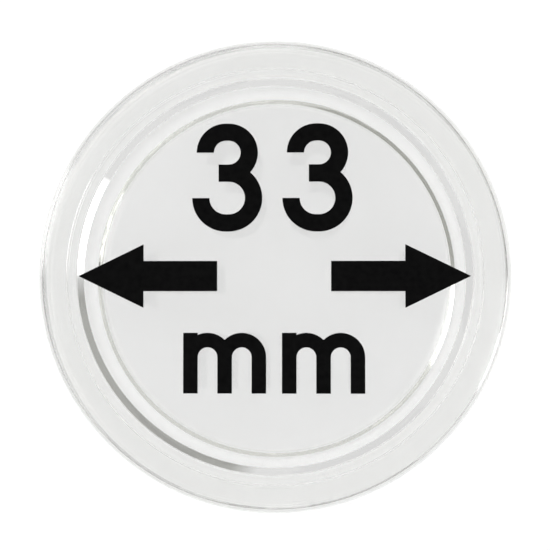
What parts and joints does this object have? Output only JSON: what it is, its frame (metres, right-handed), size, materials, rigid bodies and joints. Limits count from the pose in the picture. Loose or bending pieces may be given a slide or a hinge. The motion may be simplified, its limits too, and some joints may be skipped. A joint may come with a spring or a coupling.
{
  "type": "coin capsule",
  "caption": "Clear round coin capsule: a press-fit lid closes over a base with a coin pocket, and a size mark between arrows is stamped on the lid's flat top.",
  "frame": {"origin": "centre of the foot circle, on the surface that the capsule stands on", "axes": "+Z is the capsule's axis and points up through the lid, +Y is the top of the size mark and +X is its right"},
  "size_m": [0.039, 0.039, 0.0064],
  "materials": {
    "clear_plastic": "polished clear polystyrene",
    "stamp_film": "black hot-stamping film"
  },
  "bodies": {
    "base": {"base": "clear_plastic"},
    "lid": {"lid": "clear_plastic", "number_stamp": "stamp_film", "unit_stamp": "stamp_film", "left_arrow_stamp": "stamp_film", "right_arrow_stamp": "stamp_film"}
  },
  "joints": [
    {"name": "lid_lift", "type": "slide", "parent": "base", "child": "lid", "axis": [0, 0, 1], "range_m": [0, 0.02]}
  ]
}
